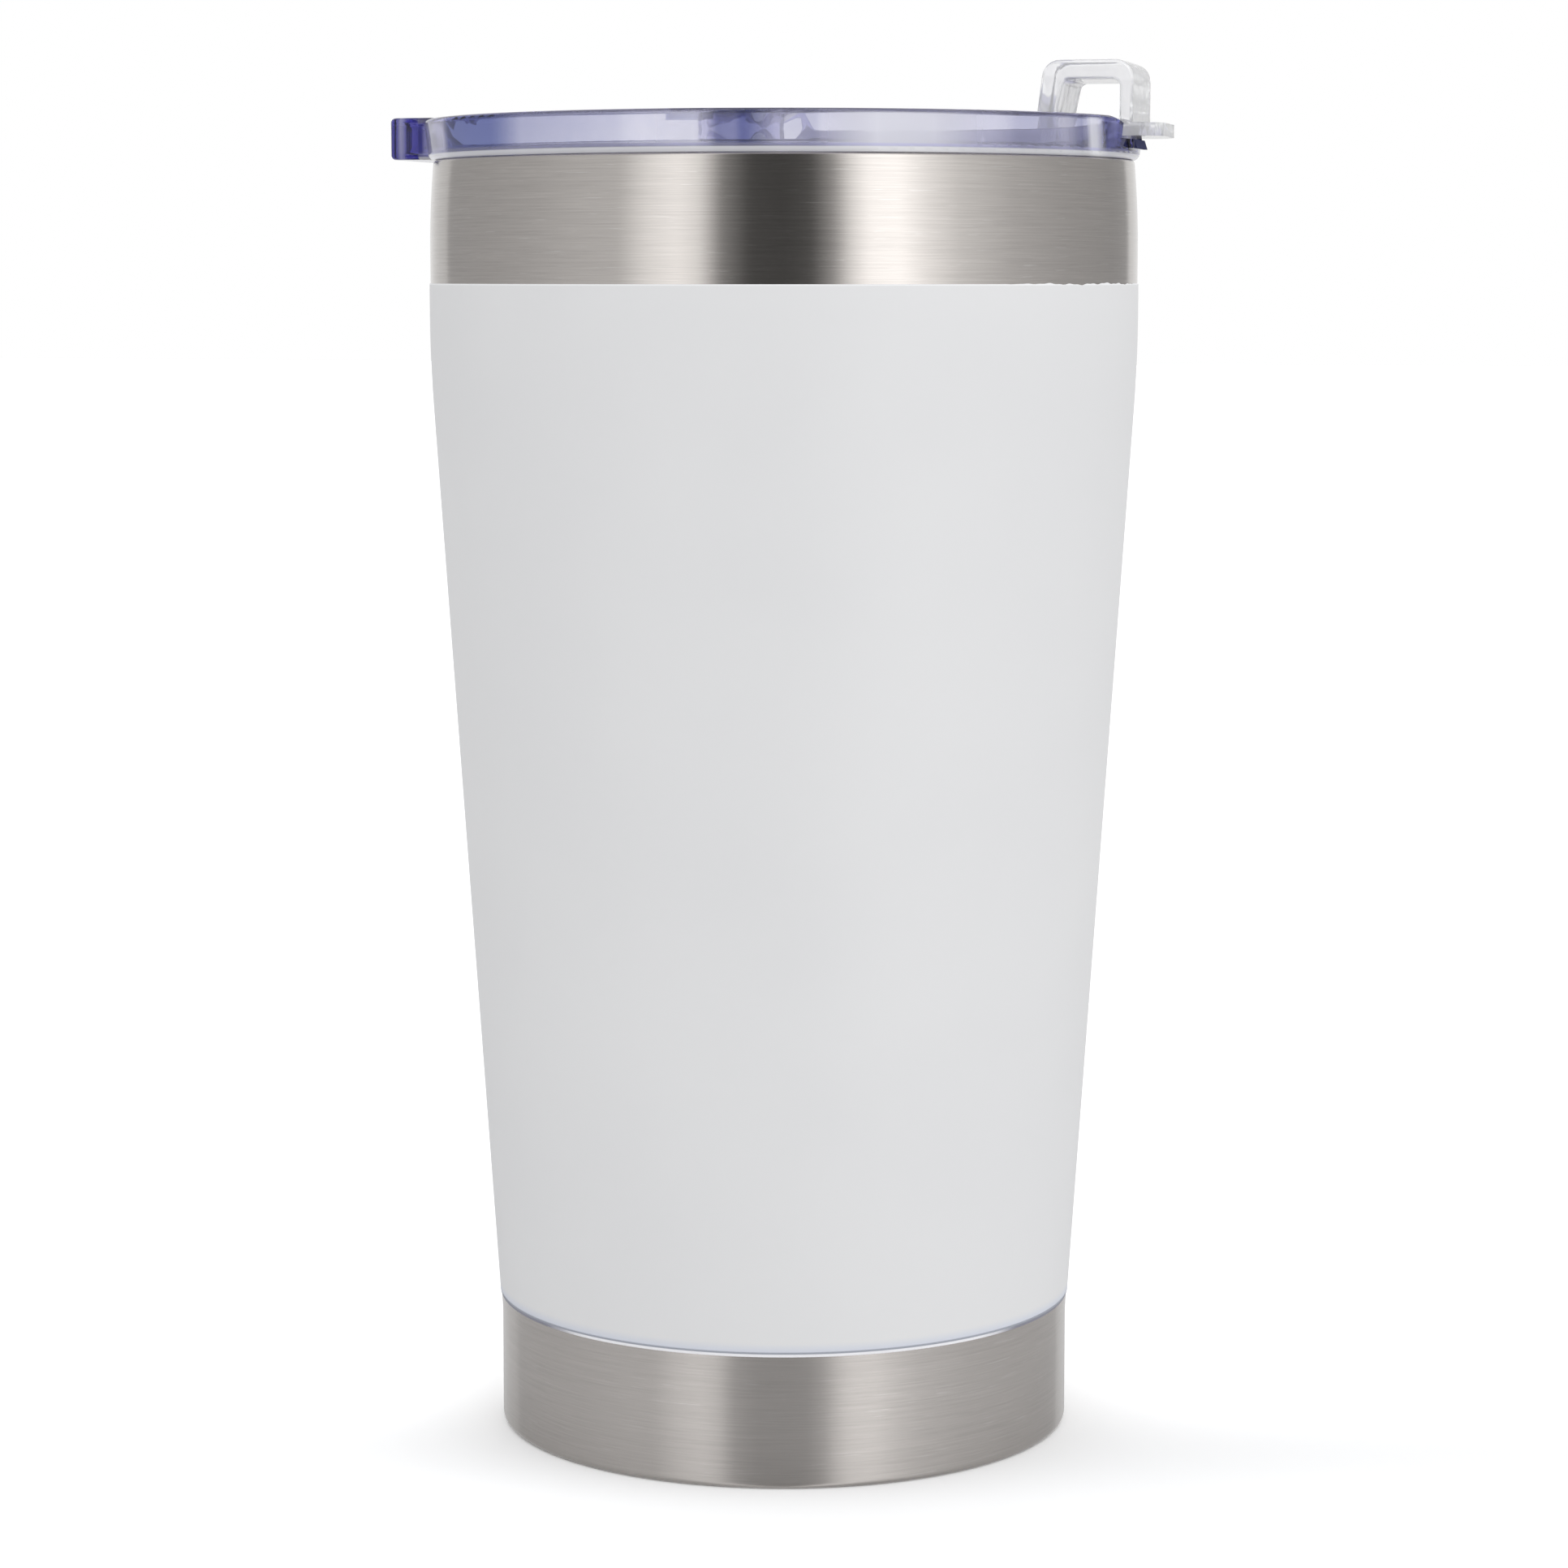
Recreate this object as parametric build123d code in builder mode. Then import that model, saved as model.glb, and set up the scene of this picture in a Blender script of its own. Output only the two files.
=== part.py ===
"""Insulated tumbler with a press-in lid and a flip-up drinking cap.

A double-walled steel cup, evacuated between its walls, carries a clear lid. The lid holds a gasket that seals
the mouth, and a strap that swings on two trunnions across the middle of the lid. The strap carries the plug
of the drinking hole, a finger loop and a thumb tab.

Millimetres. +Z is up, the origin is on the standing face under the cup's axis, and the strap lies along +X.
"""

import os
from math import atan, atan2, degrees, sqrt, tan

from build123d import *

# ---------------------------------------------------------------- cup, outside
cup_height = 159.2          # standing face to the top of the lip
shoulder_radius = 43.95     # outside of the straight upper band
shoulder_drop = 24.6        # lip to the height where the taper meets the upper band
shoulder_ease = 5.9         # length of wall that eases into the bend, above and below it
foot_radius = 36.06         # outside of the short cylinder at the foot
foot_top_z = 14.4           # where the taper starts
foot_ease = 1.31            # the same at the foot's bend
foot_corner = 0.9           # outside corner radius at the floor
lip_drop = 6.7              # lip to the height where the wall starts to lean in
lip_lean = 0.5              # how far the wall has leaned in at the lip
lip_ease = 4.1              # the same at that bend
lip_corner = 0.35           # outside corner radius of the lip
lip_round = 0.45            # inside corner radius of the lip

# ---------------------------------------------------------------- cup, walls
shell_wall = 0.7
liner_wall = 0.5
vacuum_gap = 1.95           # between the shell and the liner
lip_seam = 1.8              # mouth to the seam between the turned edges of the shell and the liner
liner_floor_z = 11.6        # drinking side of the liner's floor
liner_corner = 9.0          # inside corner radius of the liner's floor
coat_thickness = 0.12
coat_foot_gap = 2.0         # bare steel between the foot and the coat
coat_drop = 14.8            # bare steel between the coat and the lip
foil_thickness = 0.15
foil_gap = 0.1              # between the foil and the liner
foil_margin = 12.0          # bare liner above and below the foil

# ---------------------------------------------------------------- cup, base
standing_ring_width = 3.06  # turned-in edge of the shell that the cup stands on
pan_depth = 4.4             # from the standing face up to the pan's ceiling
pan_wall = 0.5
pan_lift = 0.2              # edge of the pan above the standing face
pan_corner = 1.0
port_radius = 1.0
dimple_radius = 4.6         # of the dimple round the port
dimple_rise = 1.0
dimple_slope = 0.8          # width of the dimple's sloping wall
bead_gap = 0.05             # between the glass bead and the dimple
bead_height = 0.8
plate_wall = 0.4
plate_lift = 1.2            # underside of the cover disc above the standing face
plate_gap = 0.05            # between the cover disc's rim and the pan
plate_corner = 1.2
getter_radius = 4.0
getter_height = 2.2
getter_margin = 15.0        # standing ring to the middle of the pill
clip_wall = 0.4
clip_width = 4.0
clip_gap = 0.1              # between the clip and the pill
clip_foot = 3.0             # length of each welded foot

# ---------------------------------------------------------------- lid
rim_overhang = 0.55         # foot of the rim beyond the lip's outside
rim_draft = 0.6             # how much wider the rim is at its top
rim_height = 4.94           # lip to the top of the rim
rim_wall = 1.6
rim_round = 0.6
rim_foot_round = 1.0        # outer edge of the rim's underside
flange_thickness = 0.9
floor_drop = 0.4            # drinking floor below the lip
floor_thickness = 1.6
plug_clearance = 0.8        # between the lid's plug and the mouth
plug_wall = 2.4
plug_depth = 8.6            # below the lip
plug_lead = 0.6             # chamfer at the plug's lower edge
groove_depth = 1.3
groove_height = 4.0
groove_drop = 2.8           # top of the groove below the lip
gasket_play = 0.08          # between the gasket and the lid
gasket_seal_gap = 0.1       # between the gasket's ribs and the mouth
gasket_rib_height = 0.9

lift_tab_overhang = 4.4     # end of the lift tab beyond the rim
lift_tab_stand = 0.55       # top of the lift tab above the top of the rim
lift_tab_rise = 0.31        # underside of the lift tab above the lip
lift_tab_width = 17.0
lift_tab_corner = 1.6
lift_tab_round = 0.6

# ---------------------------------------------------------------- strap and hinge
hinge_height = 3.4          # hinge axis above the lip
strap_thickness = 1.6
strap_rise = 0.05           # middle of the strap above the hinge axis
strap_width = 19.0          # wide part, in the channel
strap_margin = 0.6          # end of the wide part to the basin's wall
strap_corner = 3.0
neck_width = 13.8           # narrow part, through the notch, with the loop
barrel_radius = 1.6
trunnion_radius = 1.2
trunnion_clearance = 0.08
channel_clearance = 0.9     # between the strap and the channel's ribs
rib_wall = 1.2
rib_drop = 0.9              # top of the ribs below the top of the rim
lug_wall = 2.2
lug_back = 7.6              # how far the lugs reach behind the hinge axis
lug_front = 2.6
lug_rise = 2.2              # lugs above the hinge axis
lug_round = 1.0
heel_wall = 1.4             # cross bar between the lugs, behind the barrel
heel_rise = 0.9             # top of the cross bar above the hinge axis

notch_floor_gap = 0.3       # under the strap, where it passes the rim
notch_clearance = 0.6       # on each side of the neck
notch_flare = 3.8           # how much wider each side is at the top of the rim
notch_flare_height = 0.8    # of the flared part, which ends at the top of the rim
catch_reach = 0.35          # nib under the thumb tab, out from the rim
catch_height = 1.1
catch_width = 8.0

loop_overhang = 0.24        # outer face of the loop beyond the rim
loop_length = 12.0          # foot of the loop's inner leg to its outer face
loop_height = 7.5           # above the strap
loop_lean = 1.1             # how far the inner leg leans out over its height
loop_bar = 2.35
loop_inner_leg = 2.4
loop_outer_leg = 1.63
loop_round = 2.2
loop_hole_round = 0.9
loop_edge = 0.4
thumb_tab_overhang = 3.6    # end of the thumb tab beyond the rim
thumb_tab_round = 3.0

# ---------------------------------------------------------------- drinking hole and its plug
hole_margin = 1.9           # edge of the hole to the basin's wall
hole_length = 9.4           # along the strap
hole_width = 15.0
hole_corner = 4.0
stopper_clearance = 0.3     # between the plug and the hole
stopper_taper = 0.7         # how much narrower each side is at the lower end
stopper_depth = 2.4         # below the drinking floor
stopper_flange = 1.0        # overhang on the drinking floor
stopper_flange_height = 0.9
stopper_flange_gap = 0.1
stud_radius = 2.0
stopper_boss_wall = 1.4     # silicone round the stud
stud_gap = 0.05
stud_length = 4.0           # below the strap
vent_margin = 11.6          # middle of the vent to the basin's wall
vent_radius = 1.3

# ---------------------------------------------------------------- derived places
shoulder_z = cup_height - shoulder_drop
lip_bend_z = cup_height - lip_drop
wall_slope = (shoulder_radius - foot_radius) / (shoulder_z - foot_top_z)
shoulder_blend = shoulder_ease / tan(atan(wall_slope) / 2)
foot_blend = foot_ease / tan(atan(wall_slope) / 2)
lip_blend = lip_ease / tan(atan(lip_lean / lip_drop) / 2)
wall_depth = shell_wall + vacuum_gap + liner_wall
mouth_radius = shoulder_radius - wall_depth
liner_foot_radius = foot_radius - wall_depth
lip_radius = shoulder_radius - lip_lean
lip_weld_radius = mouth_radius + lip_seam
ring_inner_radius = foot_radius - standing_ring_width
coat_bottom_z = foot_top_z + coat_foot_gap
coat_top_z = cup_height - coat_drop
getter_offset = ring_inner_radius - getter_margin

rim_radius_bottom = lip_radius + rim_overhang
rim_radius_top = rim_radius_bottom + rim_draft
rim_top = cup_height + rim_height
flange_top = cup_height + flange_thickness
floor_top = cup_height - floor_drop
floor_bottom = floor_top - floor_thickness
plug_radius = mouth_radius - plug_clearance
plug_inner_radius = plug_radius - plug_wall
plug_bottom = cup_height - plug_depth
groove_radius = plug_radius - groove_depth
groove_top = cup_height - groove_drop
groove_bottom = groove_top - groove_height
basin_radius = plug_inner_radius + floor_thickness
rim_inner_radius = rim_radius_top - rim_wall
lift_tab_reach = rim_radius_top + lift_tab_overhang
lift_tab_root = rim_inner_radius + rim_wall / 4
lift_tab_bottom = cup_height + lift_tab_rise
lift_tab_height = rim_height + lift_tab_stand - lift_tab_rise

hinge_z = cup_height + hinge_height
strap_mid = hinge_z + strap_rise
strap_bottom = strap_mid - strap_thickness / 2
strap_top = strap_mid + strap_thickness / 2
channel_half = strap_width / 2 + channel_clearance
rib_top = rim_top - rib_drop
lug_top = hinge_z + lug_rise
trunnion_half = channel_half + lug_wall
strap_shoulder_x = plug_inner_radius - strap_margin
neck_half = neck_width / 2
notch_half = neck_half + notch_clearance
notch_floor = strap_bottom - notch_floor_gap
thumb_tab_reach = rim_radius_top + thumb_tab_overhang
loop_foot_z = strap_bottom + strap_thickness / 4
loop_top = strap_top + loop_height
loop_outer_x = rim_radius_top + loop_overhang
loop_inner_x = loop_outer_x - loop_length
hole_x = plug_inner_radius - hole_margin - hole_length / 2
vent_x = vent_margin - plug_inner_radius


def outer_radius(z):
    """Outside radius of the bare steel wall on its straight taper, at height z."""
    return foot_radius + wall_slope * (z - foot_top_z)


# ================================================================ cup
with BuildPart() as outer_shell:
    with BuildSketch(Plane.XZ):
        with BuildLine():
            FilletPolyline(
                (ring_inner_radius, 0),
                (foot_radius, 0),
                (foot_radius, foot_top_z),
                (shoulder_radius, shoulder_z),
                (shoulder_radius, lip_bend_z),
                (lip_radius, cup_height),
                (lip_weld_radius, cup_height),
                radius=[foot_corner, foot_blend, shoulder_blend, lip_blend, lip_corner],
            )
            offset(amount=shell_wall, side=Side.LEFT)
        make_face()
    revolve(axis=Axis.Z)
outer_shell.part.label = "outer_shell"

with BuildPart() as white_coating:
    with BuildSketch(Plane.XZ):
        with BuildLine():
            FilletPolyline(
                (outer_radius(coat_bottom_z), coat_bottom_z),
                (shoulder_radius, shoulder_z),
                (shoulder_radius, coat_top_z),
                radius=[shoulder_blend],
            )
            offset(amount=coat_thickness, side=Side.RIGHT)
        make_face()
    revolve(axis=Axis.Z)
white_coating.part.label = "white_coating"

with BuildPart() as inner_liner:
    with BuildSketch(Plane.XZ):
        with BuildLine():
            FilletPolyline(
                (0, liner_floor_z),
                (liner_foot_radius - wall_slope * (foot_top_z - liner_floor_z), liner_floor_z),
                (mouth_radius, shoulder_z),
                (mouth_radius, cup_height),
                (lip_weld_radius, cup_height),
                radius=[liner_corner, shoulder_blend, lip_round],
            )
            offset(amount=liner_wall, side=Side.RIGHT)
        make_face()
    revolve(axis=Axis.Z)
inner_liner.part.label = "inner_liner"

foil_shift = liner_wall + foil_gap - wall_depth
with BuildPart() as radiation_shield:
    with BuildSketch(Plane.XZ):
        with BuildLine():
            FilletPolyline(
                (outer_radius(liner_floor_z + foil_margin) + foil_shift, liner_floor_z + foil_margin),
                (shoulder_radius + foil_shift, shoulder_z),
                (shoulder_radius + foil_shift, cup_height - foil_margin),
                radius=[shoulder_blend],
            )
            offset(amount=foil_thickness, side=Side.RIGHT)
        make_face()
    revolve(axis=Axis.Z)
radiation_shield.part.label = "radiation_shield"

# ---------------------------------------------------------------- base of the cup
dimple_ceiling = pan_depth + dimple_rise
with BuildPart() as shell_bottom:
    with BuildSketch(Plane.XZ):
        with BuildLine():
            FilletPolyline(
                (ring_inner_radius, pan_lift),
                (ring_inner_radius, pan_depth + pan_wall),
                (dimple_radius, pan_depth + pan_wall),
                (dimple_radius - dimple_slope, dimple_ceiling + pan_wall),
                (port_radius, dimple_ceiling + pan_wall),
                radius=[pan_corner + pan_wall, 0, 0],
            )
            offset(amount=pan_wall, side=Side.LEFT)
        make_face()
    revolve(axis=Axis.Z)
shell_bottom.part.label = "shell_bottom"

bead_wall = dimple_slope * (dimple_rise - bead_height) / dimple_rise
with BuildPart() as port_seal:
    with BuildSketch(Plane.XZ):
        with BuildLine():
            Polyline(
                (0, dimple_ceiling - bead_height),
                (dimple_radius - bead_wall - pan_wall - bead_gap, dimple_ceiling - bead_height),
                (dimple_radius - dimple_slope - pan_wall - bead_gap, dimple_ceiling - bead_gap),
                (port_radius - bead_gap, dimple_ceiling - bead_gap),
                (port_radius - bead_gap, dimple_ceiling + pan_wall),
                (0, dimple_ceiling + pan_wall),
                close=True,
            )
        make_face()
    revolve(axis=Axis.Z)
port_seal.part.label = "port_seal"

plate_radius = ring_inner_radius - pan_wall - plate_gap
with BuildPart() as base_plate:
    with BuildSketch(Plane.XZ):
        with BuildLine():
            FilletPolyline(
                (0, plate_lift),
                (plate_radius, plate_lift),
                (plate_radius, pan_depth - pan_corner),
                radius=[plate_corner],
            )
            offset(amount=plate_wall, side=Side.LEFT)
        make_face()
    revolve(axis=Axis.Z)
base_plate.part.label = "base_plate"

getter_z = pan_depth + pan_wall
with BuildPart() as getter_pill:
    with BuildSketch(Plane.XY.offset(getter_z)):
        with Locations((getter_offset, 0)):
            Circle(getter_radius)
    extrude(amount=getter_height)
getter_pill.part.label = "getter_pill"

clip_inner = getter_radius + clip_gap
clip_top = getter_height + clip_gap
with BuildPart() as getter_clip:
    with BuildSketch(Plane.XZ):
        with BuildLine():
            FilletPolyline(
                (getter_offset - clip_inner - clip_foot, getter_z),
                (getter_offset - clip_inner, getter_z),
                (getter_offset - clip_inner, getter_z + clip_top),
                (getter_offset + clip_inner, getter_z + clip_top),
                (getter_offset + clip_inner, getter_z),
                (getter_offset + clip_inner + clip_foot, getter_z),
                radius=[0, 0, 0, 0],
            )
            offset(amount=clip_wall, side=Side.LEFT, kind=Kind.INTERSECTION)
        make_face()
    extrude(amount=clip_width / 2, both=True)
getter_clip.part.label = "getter_clip"

# ================================================================ lid
floor_middle = floor_top - floor_thickness / 2
flange_middle = flange_top - flange_thickness / 2
rib_end_x = sqrt((rim_inner_radius + rim_wall / 2) ** 2 - (channel_half + rib_wall) ** 2)
gasket_inner_radius = groove_radius + gasket_play
gasket_outer_radius = mouth_radius - gasket_seal_gap

with BuildPart() as lift_tab:
    with BuildSketch(Plane.XY.offset(lift_tab_bottom)):
        with Locations((-lift_tab_root, 0)):
            Rectangle(lift_tab_reach - lift_tab_root, lift_tab_width, align=(Align.MAX, Align.CENTER))
        fillet(vertices().group_by(Axis.X)[0], lift_tab_corner)
    extrude(amount=lift_tab_height)
    fillet(faces().filter_by(Axis.Z).edges().filter_by(Axis.X), lift_tab_round)

with BuildPart() as lid:
    with BuildSketch(Plane.XZ):
        with BuildLine():
            FilletPolyline(
                (0, floor_bottom),
                (plug_inner_radius, floor_bottom),
                (plug_inner_radius, plug_bottom),
                (plug_radius - plug_lead, plug_bottom),
                (plug_radius, plug_bottom + plug_lead),
                (plug_radius, groove_bottom),
                (groove_radius, groove_bottom),
                (groove_radius, groove_top),
                (plug_radius, groove_top),
                (plug_radius, cup_height),
                (rim_radius_bottom, cup_height),
                (rim_radius_top, rim_top),
                (rim_inner_radius, rim_top),
                (rim_inner_radius, flange_top),
                (basin_radius, flange_top),
                (plug_inner_radius, floor_top),
                (0, floor_top),
                radius=[rim_round, 0, 0, 0, 0, 0, 0, 0, 0, rim_foot_round, rim_round, rim_round,
                        rim_round, rim_round, rim_round],
            )
            Line((0, floor_top), (0, floor_bottom))
        make_face()
    revolve(axis=Axis.Z)

    # lift tab, opposite the drinking side
    add(lift_tab.part)

    # ribs along the strap's channel, lugs at its hinge and the heel bar behind the barrel
    with BuildSketch(Plane.XZ.offset(channel_half)):
        with BuildLine():
            Polyline(
                (0, floor_middle),
                (plug_inner_radius, floor_middle),
                (plug_inner_radius, flange_middle),
                (rib_end_x, flange_middle),
                (rib_end_x, rib_top),
                (0, rib_top),
                close=True,
            )
        make_face()
    rib = extrude(amount=rib_wall)
    with BuildSketch(Plane.XZ.offset(channel_half)):
        with Locations((lug_front, floor_middle)):
            Rectangle(
                lug_front + lug_back, lug_top - floor_middle, align=(Align.MAX, Align.MIN)
            )
        fillet(vertices().group_by(Axis.Y)[-1], lug_round)
    lug = extrude(amount=lug_wall)
    mirror([rib, lug], about=Plane.XZ)
    with BuildSketch(Plane.XY.offset(floor_middle)):
        with Locations((-lug_back, 0)):
            Rectangle(heel_wall, 2 * channel_half, align=(Align.MIN, Align.CENTER))
    extrude(amount=hinge_z + heel_rise - floor_middle)
    with BuildSketch(Plane.XZ):
        with Locations((0, hinge_z)):
            Circle(trunnion_radius + trunnion_clearance)
    extrude(amount=trunnion_half, both=True, mode=Mode.SUBTRACT)

    # notch in the rim for the strap's neck, with the catch under the thumb tab
    with BuildSketch(Plane.YZ.offset(basin_radius)):
        with BuildLine():
            Polyline(
                (-notch_half, notch_floor),
                (notch_half, notch_floor),
                (notch_half, rim_top - notch_flare_height),
                (notch_half + notch_flare, rim_top),
                (-notch_half - notch_flare, rim_top),
                (-notch_half, rim_top - notch_flare_height),
                close=True,
            )
        make_face()
    extrude(amount=rim_radius_top - basin_radius, mode=Mode.SUBTRACT)
    with BuildSketch(Plane.XZ):
        with BuildLine():
            Polyline(
                (rim_radius_bottom - rim_wall / 2, notch_floor),
                (rim_radius_top, notch_floor),
                (rim_radius_top + catch_reach, notch_floor - catch_height),
                (rim_radius_bottom - rim_wall / 2, notch_floor - catch_height),
                close=True,
            )
        make_face()
    extrude(amount=catch_width / 2, both=True)

    # drinking hole and air vent
    with BuildSketch(Plane.XY.offset(floor_bottom)):
        with Locations((hole_x, 0)):
            RectangleRounded(hole_length, hole_width, hole_corner)
        with Locations((vent_x, 0)):
            Circle(vent_radius)
    extrude(amount=floor_thickness, mode=Mode.SUBTRACT)
lid.part.label = "lid"

with BuildPart() as lid_gasket:
    with BuildSketch(Plane.XZ):
        with Locations((gasket_inner_radius, (groove_bottom + groove_top) / 2)):
            Rectangle(
                plug_radius - gasket_inner_radius,
                groove_height - 2 * gasket_play,
                align=(Align.MIN, Align.CENTER),
            )
            with GridLocations(0, groove_height - 2 * gasket_play - gasket_rib_height, 1, 2):
                Rectangle(
                    gasket_outer_radius - gasket_inner_radius,
                    gasket_rib_height,
                    align=(Align.MIN, Align.CENTER),
                )
        fillet(vertices().group_by(Axis.X)[-1], gasket_rib_height / 3)
    revolve(axis=Axis.Z)
lid_gasket.part.label = "lid_gasket"

# ================================================================ strap
# finger loop: a bent bar whose inner leg leans out as it rises
with BuildPart() as finger_loop:
    with BuildSketch(Plane.XZ) as arch:
        with BuildLine():
            FilletPolyline(
                (loop_inner_x, loop_foot_z),
                (loop_inner_x + loop_lean, loop_top),
                (loop_outer_x, loop_top),
                (loop_outer_x, loop_foot_z),
                radius=[loop_round, loop_round],
            )
            Line((loop_outer_x, loop_foot_z), (loop_inner_x, loop_foot_z))
        make_face()
        with BuildLine():
            FilletPolyline(
                (loop_inner_x + loop_inner_leg, strap_top),
                (loop_inner_x + loop_inner_leg + loop_lean, loop_top - loop_bar),
                (loop_outer_x - loop_outer_leg, loop_top - loop_bar),
                (loop_outer_x - loop_outer_leg, strap_top),
                radius=loop_hole_round,
                close=True,
            )
        make_face(mode=Mode.SUBTRACT)
    extrude(amount=neck_half, both=True)
    fillet(faces().filter_by(Axis.Y).edges(), loop_edge)

with BuildPart() as flip_cap:
    with BuildSketch(Plane.XY.offset(strap_bottom)) as outline:
        Rectangle(strap_shoulder_x, strap_width, align=(Align.MIN, Align.CENTER))
        fillet(vertices().group_by(Axis.X)[-1], strap_corner)
        Rectangle(thumb_tab_reach, neck_width, align=(Align.MIN, Align.CENTER))
        fillet(outline.vertices().group_by(Axis.X)[-1], thumb_tab_round)
    extrude(amount=strap_thickness)

    # barrel and trunnions of the hinge
    with BuildSketch(Plane.XZ):
        with Locations((0, hinge_z)):
            Circle(barrel_radius)
    extrude(amount=strap_width / 2, both=True)
    with BuildSketch(Plane.XZ):
        with Locations((0, hinge_z)):
            Circle(trunnion_radius)
    extrude(amount=trunnion_half, both=True)

    add(finger_loop.part)

    # stud that carries the plug of the drinking hole
    with BuildSketch(Plane.XY.offset(strap_bottom)):
        with Locations((hole_x, 0)):
            Circle(stud_radius)
    extrude(amount=-stud_length)
flip_cap.part.label = "flip_cap"

# ---------------------------------------------------------------- plug of the drinking hole
seat_z = floor_top + stopper_flange_gap
seat_length = hole_length - 2 * stopper_clearance
seat_width = hole_width - 2 * stopper_clearance
with BuildPart() as drink_plug:
    with BuildSketch(Plane.XY.offset(seat_z)):
        with Locations((hole_x, 0)):
            RectangleRounded(seat_length, seat_width, hole_corner - stopper_clearance)
    extrude(
        amount=stopper_depth + stopper_flange_gap,
        dir=(0, 0, -1),
        taper=degrees(atan2(stopper_taper, stopper_depth + stopper_flange_gap)),
    )
    with BuildSketch(Plane.XY.offset(seat_z)):
        with Locations((hole_x, 0)):
            RectangleRounded(
                hole_length + 2 * stopper_flange, hole_width + 2 * stopper_flange, hole_corner
            )
    extrude(amount=stopper_flange_height)
    with BuildSketch(Plane.XY.offset(seat_z)):
        with Locations((hole_x, 0)):
            Circle(stud_radius + stopper_boss_wall)
    extrude(amount=strap_bottom - seat_z)
    with BuildSketch(Plane.XY.offset(strap_bottom)):
        with Locations((hole_x, 0)):
            Circle(stud_radius + stud_gap)
    extrude(amount=-stud_length - stud_gap, mode=Mode.SUBTRACT)
drink_plug.part.label = "drink_plug"

# ================================================================ files
pieces = [
    outer_shell, white_coating, inner_liner, radiation_shield, shell_bottom, port_seal, base_plate,
    getter_pill, getter_clip, lid, lid_gasket, flip_cap, drink_plug,
]
os.makedirs("parts", exist_ok=True)
for piece in pieces:
    export_step(piece.part, f"parts/{piece.part.label}.step")
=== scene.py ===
"""Looks of an insulated tumbler: brushed steel, white powder coat, tinted press-in lid and clear flip cap.

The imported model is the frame. Metres, with +Z up and the origin on the standing face under the cup's axis.
"""

import math

import bmesh
import bpy
import numpy as np
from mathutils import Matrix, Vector


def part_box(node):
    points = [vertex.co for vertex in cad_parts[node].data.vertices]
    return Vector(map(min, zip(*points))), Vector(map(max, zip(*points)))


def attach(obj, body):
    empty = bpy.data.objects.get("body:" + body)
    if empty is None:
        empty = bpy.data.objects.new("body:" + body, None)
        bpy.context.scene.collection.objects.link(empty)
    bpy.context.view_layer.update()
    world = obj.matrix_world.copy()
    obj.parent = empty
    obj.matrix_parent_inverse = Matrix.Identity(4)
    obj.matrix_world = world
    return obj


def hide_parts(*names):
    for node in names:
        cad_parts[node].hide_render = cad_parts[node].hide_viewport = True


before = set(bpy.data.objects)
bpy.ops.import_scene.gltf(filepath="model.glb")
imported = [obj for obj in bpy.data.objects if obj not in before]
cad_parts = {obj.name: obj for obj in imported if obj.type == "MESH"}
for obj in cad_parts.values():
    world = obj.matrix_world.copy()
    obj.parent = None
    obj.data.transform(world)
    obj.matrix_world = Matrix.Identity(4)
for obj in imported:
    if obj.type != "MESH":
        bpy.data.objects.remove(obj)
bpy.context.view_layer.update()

# ---------------------------------------------------------------- sizes
mm = 0.001
shell_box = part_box("outer_shell")
coat_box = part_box("white_coating")
liner_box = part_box("inner_liner")
plate_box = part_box("base_plate")

# the outer wall
lip_z = shell_box[1].z
shoulder_radius = shell_box[1].x
shoulder_z = lip_z - 24.6 * mm
shoulder_bend = 180 * mm
foot_radius = 36.06 * mm
foot_top_z = 14.4 * mm
foot_bend = 40 * mm
ring_radius = 33.0 * mm
ring_round = 0.9 * mm
lip_radius = shoulder_radius - 0.5 * mm
lip_lean_z = lip_z - 6.7 * mm
lip_bend = 110 * mm
lip_round = 0.35 * mm
lip_clearance = 0.03 * mm
shell_wall = 0.7 * mm
wall_slope = (shoulder_radius - foot_radius) / (shoulder_z - foot_top_z)

# the inner wall
double_wall = 3.15 * mm
liner_wall = 0.5 * mm
liner_floor_z = liner_box[0].z + liner_wall
liner_floor_round = 9 * mm
mouth_radius = shoulder_radius - double_wall
mouth_round = 0.45 * mm
seam_radius = liner_box[1].x

# the coat
coat_bottom_z = coat_box[0].z
coat_top_z = coat_box[1].z
coat_height = coat_top_z - coat_bottom_z
coat_thickness = 0.12 * mm
coat_sink = 0.03 * mm
coat_top_round = 0.15 * mm
bead_height = 0.42 * mm
# Bearing of the middle of the painted highlight on the coat's bead, close to the camera's bearing.
bead_glint_turn = math.radians(13)
groove_heights = np.array([0.05, 0.12, 0.20]) * mm
groove_depths = np.array([0.06, 0.06, 0.0]) * mm
ragged_turn = math.radians(-18)
ragged_spread = math.radians(19)
ragged_height = 0.3 * mm
ragged_level = 0.4

# the cover disc
plate_radius = plate_box[1].x
plate_low_z = plate_box[0].z
plate_high_z = plate_box[1].z
plate_wall = 0.4 * mm
plate_dish = 0.25 * mm
dish_bend = 1.5 * mm
plate_bend = 1.2 * mm


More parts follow.
